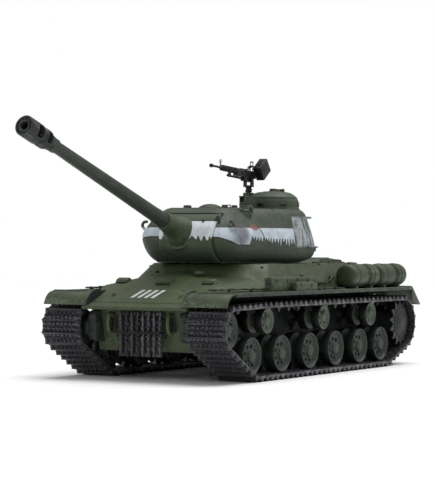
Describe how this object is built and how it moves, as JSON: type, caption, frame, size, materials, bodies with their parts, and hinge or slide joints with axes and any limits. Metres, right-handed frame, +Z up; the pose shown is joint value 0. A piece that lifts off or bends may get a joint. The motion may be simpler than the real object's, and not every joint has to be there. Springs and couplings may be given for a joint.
{
  "type": "remote-controlled tank",
  "caption": "Remote-controlled heavy tank model with turning turret, elevating long gun, sprung road wheels, cupola and roof machine gun.",
  "frame": {"origin": "centre of the footprint on the ground, at gun rest", "axes": "+Z up; the tank's front and gun point along -Y; its left side is +X"},
  "size_m": [0.193, 0.5836, 0.2279],
  "materials": {
    "hull_paint": "matt olive green paint, weathered",
    "turret_paint": "matt olive green paint with a worn white band",
    "wheel_paint": "matt olive green paint, dusty",
    "arm_paint": "dark green paint, dirty",
    "barrel_paint": "matt olive green paint",
    "track_metal": "dark burnished steel",
    "gunmetal": "satin near-black",
    "cable": "dark oiled wire rope",
    "battery": "blue heat-shrink",
    "circuit": "green lacquered board",
    "gearbox": "die-cast, satin",
    "motor": "plated steel can",
    "gear_plastic": "natural acetal"
  },
  "bodies": {
    "hull": {"lower_hull": "hull_paint", "upper_hull": "hull_paint", "engine_deck": "hull_paint", "fenders": "hull_paint", "fuel_drums": "hull_paint", "spare_track_links": "track_metal", "stowage_boxes": "hull_paint", "tow_hooks": "hull_paint", "tow_cables": "cable", "battery_pack": "battery", "control_board": "circuit", "drive_units": "gearbox", "traverse_motor": "motor", "track_left": "track_metal", "track_right": "track_metal"},
    "turret": {"turret_shell": "turret_paint", "turret_ring_gear": "gear_plastic", "cupola": "turret_paint"},
    "gun_cradle": {"mantlet": "turret_paint"},
    "gun": {"gun_barrel": "barrel_paint", "muzzle_brake": "barrel_paint"},
    "traverse_pinion": {"traverse_pinion": "gear_plastic"},
    "commander_hatch": {"commander_hatch": "turret_paint"},
    "loader_hatch": {"loader_hatch": "turret_paint"},
    "mg_mount": {"mg_mount": "gunmetal"},
    "heavy_mg": {"heavy_mg": "gunmetal"},
    "sprocket_left": {"sprocket_left": "wheel_paint"},
    "idler_left": {"idler_left": "wheel_paint"},
    "return_roller_left_1": {"return_roller_left_1": "wheel_paint"},
    "return_roller_left_2": {"return_roller_left_2": "wheel_paint"},
    "return_roller_left_3": {"return_roller_left_3": "wheel_paint"},
    "swing_arm_left_1": {"swing_arm_left_1": "arm_paint"},
    "road_wheel_left_1": {"road_wheel_left_1": "wheel_paint"},
    "swing_arm_left_2": {"swing_arm_left_2": "arm_paint"},
    "road_wheel_left_2": {"road_wheel_left_2": "wheel_paint"},
    "swing_arm_left_3": {"swing_arm_left_3": "arm_paint"},
    "road_wheel_left_3": {"road_wheel_left_3": "wheel_paint"},
    "swing_arm_left_4": {"swing_arm_left_4": "arm_paint"},
    "road_wheel_left_4": {"road_wheel_left_4": "wheel_paint"},
    "swing_arm_left_5": {"swing_arm_left_5": "arm_paint"},
    "road_wheel_left_5": {"road_wheel_left_5": "wheel_paint"},
    "swing_arm_left_6": {"swing_arm_left_6": "arm_paint"},
    "road_wheel_left_6": {"road_wheel_left_6": "wheel_paint"},
    "sprocket_right": {"sprocket_right": "wheel_paint"},
    "idler_right": {"idler_right": "wheel_paint"},
    "return_roller_right_1": {"return_roller_right_1": "wheel_paint"},
    "return_roller_right_2": {"return_roller_right_2": "wheel_paint"},
    "return_roller_right_3": {"return_roller_right_3": "wheel_paint"},
    "swing_arm_right_1": {"swing_arm_right_1": "arm_paint"},
    "road_wheel_right_1": {"road_wheel_right_1": "wheel_paint"},
    "swing_arm_right_2": {"swing_arm_right_2": "arm_paint"},
    "road_wheel_right_2": {"road_wheel_right_2": "wheel_paint"},
    "swing_arm_right_3": {"swing_arm_right_3": "arm_paint"},
    "road_wheel_right_3": {"road_wheel_right_3": "wheel_paint"},
    "swing_arm_right_4": {"swing_arm_right_4": "arm_paint"},
    "road_wheel_right_4": {"road_wheel_right_4": "wheel_paint"},
    "swing_arm_right_5": {"swing_arm_right_5": "arm_paint"},
    "road_wheel_right_5": {"road_wheel_right_5": "wheel_paint"},
    "swing_arm_right_6": {"swing_arm_right_6": "arm_paint"},
    "road_wheel_right_6": {"road_wheel_right_6": "wheel_paint"}
  },
  "joints": [
    {"name": "turret_traverse", "type": "hinge", "parent": "hull", "child": "turret", "pos_m": [0, 0.05681, 0.1056], "axis": [0, 0, 1], "continuous": true},
    {"name": "pinion_spin", "type": "hinge", "parent": "hull", "child": "traverse_pinion", "pos_m": [0, 0.11369, 0.093], "axis": [0, 0, 1], "continuous": true},
    {"name": "gun_elevation", "type": "hinge", "parent": "turret", "child": "gun_cradle", "pos_m": [0.00725, -0.02369, 0.1288], "axis": [-1, 0, 0], "range_deg": [-21.9, 1.1]},
    {"name": "barrel_recoil", "type": "slide", "parent": "gun_cradle", "child": "gun", "axis": [0, 0.9461, -0.3239], "range_m": [0, 0.01], "stiffness_N_per_m": 200, "springref_m": -0.01},
    {"name": "commander_hatch_hinge", "type": "hinge", "parent": "turret", "child": "commander_hatch", "pos_m": [0.028, 0.10321, 0.1764], "axis": [-1, 0, 0], "range_deg": [0, 100]},
    {"name": "loader_hatch_hinge", "type": "hinge", "parent": "turret", "child": "loader_hatch", "pos_m": [-0.0385, 0.07881, 0.1589], "axis": [0, -1, 0], "range_deg": [0, 100]},
    {"name": "mg_traverse", "type": "hinge", "parent": "turret", "child": "mg_mount", "pos_m": [0.004, 0.08381, 0.178], "axis": [0, 0, 1], "range_deg": [-100, 100]},
    {"name": "mg_elevation", "type": "hinge", "parent": "mg_mount", "child": "heavy_mg", "pos_m": [0.004, 0.08381, 0.1865], "axis": [-1, 0, 0], "range_deg": [-8, 40]},
    {"name": "left_drive", "type": "hinge", "parent": "hull", "child": "sprocket_left", "pos_m": [0.0762, 0.25371, 0.0431], "axis": [1, 0, 0], "continuous": true},
    {"name": "left_idler_spin", "type": "hinge", "parent": "hull", "child": "idler_left", "pos_m": [0.0762, -0.10359, 0.0474], "axis": [1, 0, 0], "continuous": true},
    {"name": "left_roller_1_spin", "type": "hinge", "parent": "hull", "child": "return_roller_left_1", "pos_m": [0.0762, -0.03119, 0.0539], "axis": [1, 0, 0], "continuous": true},
    {"name": "left_roller_2_spin", "type": "hinge", "parent": "hull", "child": "return_roller_left_2", "pos_m": [0.0762, 0.08281, 0.0539], "axis": [1, 0, 0], "continuous": true},
    {"name": "left_roller_3_spin", "type": "hinge", "parent": "hull", "child": "return_roller_left_3", "pos_m": [0.0762, 0.18811, 0.0539], "axis": [1, 0, 0], "continuous": true},
    {"name": "left_arm_1", "type": "hinge", "parent": "hull", "child": "swing_arm_left_1", "pos_m": [0.057, -0.07669, 0.0329], "axis": [1, 0, 0], "range_deg": [0, 20], "stiffness_Nm_per_rad": 0.15, "springref_deg": -20.05},
    {"name": "left_wheel_1_spin", "type": "hinge", "parent": "swing_arm_left_1", "child": "road_wheel_left_1", "pos_m": [0.0762, -0.05969, 0.0229], "axis": [1, 0, 0], "continuous": true},
    {"name": "left_arm_2", "type": "hinge", "parent": "hull", "child": "swing_arm_left_2", "pos_m": [0.057, -0.01919, 0.0329], "axis": [1, 0, 0], "range_deg": [0, 20], "stiffness_Nm_per_rad": 0.15, "springref_deg": -20.05},
    {"name": "left_wheel_2_spin", "type": "hinge", "parent": "swing_arm_left_2", "child": "road_wheel_left_2", "pos_m": [0.0762, -0.00219, 0.0229], "axis": [1, 0, 0], "continuous": true},
    {"name": "left_arm_3", "type": "hinge", "parent": "hull", "child": "swing_arm_left_3", "pos_m": [0.057, 0.03781, 0.0329], "axis": [1, 0, 0], "range_deg": [0, 20], "stiffness_Nm_per_rad": 0.15, "springref_deg": -20.05},
    {"name": "left_wheel_3_spin", "type": "hinge", "parent": "swing_arm_left_3", "child": "road_wheel_left_3", "pos_m": [0.0762, 0.05481, 0.0229], "axis": [1, 0, 0], "continuous": true},
    {"name": "left_arm_4", "type": "hinge", "parent": "hull", "child": "swing_arm_left_4", "pos_m": [0.057, 0.09231, 0.0329], "axis": [1, 0, 0], "range_deg": [0, 20], "stiffness_Nm_per_rad": 0.15, "springref_deg": -20.05},
    {"name": "left_wheel_4_spin", "type": "hinge", "parent": "swing_arm_left_4", "child": "road_wheel_left_4", "pos_m": [0.0762, 0.10931, 0.0229], "axis": [1, 0, 0], "continuous": true},
    {"name": "left_arm_5", "type": "hinge", "parent": "hull", "child": "swing_arm_left_5", "pos_m": [0.057, 0.14631, 0.0329], "axis": [1, 0, 0], "range_deg": [0, 20], "stiffness_Nm_per_rad": 0.15, "springref_deg": -20.05},
    {"name": "left_wheel_5_spin", "type": "hinge", "parent": "swing_arm_left_5", "child": "road_wheel_left_5", "pos_m": [0.0762, 0.16331, 0.0229], "axis": [1, 0, 0], "continuous": true},
    {"name": "left_arm_6", "type": "hinge", "parent": "hull", "child": "swing_arm_left_6", "pos_m": [0.057, 0.19531, 0.0329], "axis": [1, 0, 0], "range_deg": [0, 20], "stiffness_Nm_per_rad": 0.15, "springref_deg": -20.05},
    {"name": "left_wheel_6_spin", "type": "hinge", "parent": "swing_arm_left_6", "child": "road_wheel_left_6", "pos_m": [0.0762, 0.21231, 0.0229], "axis": [1, 0, 0], "continuous": true},
    {"name": "right_drive", "type": "hinge", "parent": "hull", "child": "sprocket_right", "pos_m": [-0.0762, 0.25371, 0.0431], "axis": [1, 0, 0], "continuous": true},
    {"name": "right_idler_spin", "type": "hinge", "parent": "hull", "child": "idler_right", "pos_m": [-0.0762, -0.10359, 0.0474], "axis": [1, 0, 0], "continuous": true},
    {"name": "right_roller_1_spin", "type": "hinge", "parent": "hull", "child": "return_roller_right_1", "pos_m": [-0.0762, -0.03119, 0.0539], "axis": [1, 0, 0], "continuous": true},
    {"name": "right_roller_2_spin", "type": "hinge", "parent": "hull", "child": "return_roller_right_2", "pos_m": [-0.0762, 0.08281, 0.0539], "axis": [1, 0, 0], "continuous": true},
    {"name": "right_roller_3_spin", "type": "hinge", "parent": "hull", "child": "return_roller_right_3", "pos_m": [-0.0762, 0.18811, 0.0539], "axis": [1, 0, 0], "continuous": true},
    {"name": "right_arm_1", "type": "hinge", "parent": "hull", "child": "swing_arm_right_1", "pos_m": [-0.057, -0.07669, 0.0329], "axis": [1, 0, 0], "range_deg": [0, 20], "stiffness_Nm_per_rad": 0.15, "springref_deg": -20.05},
    {"name": "right_wheel_1_spin", "type": "hinge", "parent": "swing_arm_right_1", "child": "road_wheel_right_1", "pos_m": [-0.0762, -0.05969, 0.0229], "axis": [1, 0, 0], "continuous": true},
    {"name": "right_arm_2", "type": "hinge", "parent": "hull", "child": "swing_arm_right_2", "pos_m": [-0.057, -0.01919, 0.0329], "axis": [1, 0, 0], "range_deg": [0, 20], "stiffness_Nm_per_rad": 0.15, "springref_deg": -20.05},
    {"name": "right_wheel_2_spin", "type": "hinge", "parent": "swing_arm_right_2", "child": "road_wheel_right_2", "pos_m": [-0.0762, -0.00219, 0.0229], "axis": [1, 0, 0], "continuous": true},
    {"name": "right_arm_3", "type": "hinge", "parent": "hull", "child": "swing_arm_right_3", "pos_m": [-0.057, 0.03781, 0.0329], "axis": [1, 0, 0], "range_deg": [0, 20], "stiffness_Nm_per_rad": 0.15, "springref_deg": -20.05},
    {"name": "right_wheel_3_spin", "type": "hinge", "parent": "swing_arm_right_3", "child": "road_wheel_right_3", "pos_m": [-0.0762, 0.05481, 0.0229], "axis": [1, 0, 0], "continuous": true},
    {"name": "right_arm_4", "type": "hinge", "parent": "hull", "child": "swing_arm_right_4", "pos_m": [-0.057, 0.09231, 0.0329], "axis": [1, 0, 0], "range_deg": [0, 20], "stiffness_Nm_per_rad": 0.15, "springref_deg": -20.05},
    {"name": "right_wheel_4_spin", "type": "hinge", "parent": "swing_arm_right_4", "child": "road_wheel_right_4", "pos_m": [-0.0762, 0.10931, 0.0229], "axis": [1, 0, 0], "continuous": true},
    {"name": "right_arm_5", "type": "hinge", "parent": "hull", "child": "swing_arm_right_5", "pos_m": [-0.057, 0.14631, 0.0329], "axis": [1, 0, 0], "range_deg": [0, 20], "stiffness_Nm_per_rad": 0.15, "springref_deg": -20.05},
    {"name": "right_wheel_5_spin", "type": "hinge", "parent": "swing_arm_right_5", "child": "road_wheel_right_5", "pos_m": [-0.0762, 0.16331, 0.0229], "axis": [1, 0, 0], "continuous": true},
    {"name": "right_arm_6", "type": "hinge", "parent": "hull", "child": "swing_arm_right_6", "pos_m": [-0.057, 0.19531, 0.0329], "axis": [1, 0, 0], "range_deg": [0, 20], "stiffness_Nm_per_rad": 0.15, "springref_deg": -20.05},
    {"name": "right_wheel_6_spin", "type": "hinge", "parent": "swing_arm_right_6", "child": "road_wheel_right_6", "pos_m": [-0.0762, 0.21231, 0.0229], "axis": [1, 0, 0], "continuous": true}
  ],
  "couplings": [
    {"joint": "pinion_spin", "follows": "turret_traverse", "ratio": -6},
    {"joint": "left_idler_spin", "follows": "left_drive", "ratio": 1.3043},
    {"joint": "left_roller_1_spin", "follows": "left_drive", "ratio": 2},
    {"joint": "left_roller_2_spin", "follows": "left_drive", "ratio": 2},
    {"joint": "left_roller_3_spin", "follows": "left_drive", "ratio": 2},
    {"joint": "left_wheel_1_spin", "follows": "left_drive", "ratio": 1.3954},
    {"joint": "left_wheel_2_spin", "follows": "left_drive", "ratio": 1.3954},
    {"joint": "left_wheel_3_spin", "follows": "left_drive", "ratio": 1.3954},
    {"joint": "left_wheel_4_spin", "follows": "left_drive", "ratio": 1.3954},
    {"joint": "left_wheel_5_spin", "follows": "left_drive", "ratio": 1.3954},
    {"joint": "left_wheel_6_spin", "follows": "left_drive", "ratio": 1.3954},
    {"joint": "right_idler_spin", "follows": "right_drive", "ratio": 1.3043},
    {"joint": "right_roller_1_spin", "follows": "right_drive", "ratio": 2},
    {"joint": "right_roller_2_spin", "follows": "right_drive", "ratio": 2},
    {"joint": "right_roller_3_spin", "follows": "right_drive", "ratio": 2},
    {"joint": "right_wheel_1_spin", "follows": "right_drive", "ratio": 1.3954},
    {"joint": "right_wheel_2_spin", "follows": "right_drive", "ratio": 1.3954},
    {"joint": "right_wheel_3_spin", "follows": "right_drive", "ratio": 1.3954},
    {"joint": "right_wheel_4_spin", "follows": "right_drive", "ratio": 1.3954},
    {"joint": "right_wheel_5_spin", "follows": "right_drive", "ratio": 1.3954},
    {"joint": "right_wheel_6_spin", "follows": "right_drive", "ratio": 1.3954}
  ]
}
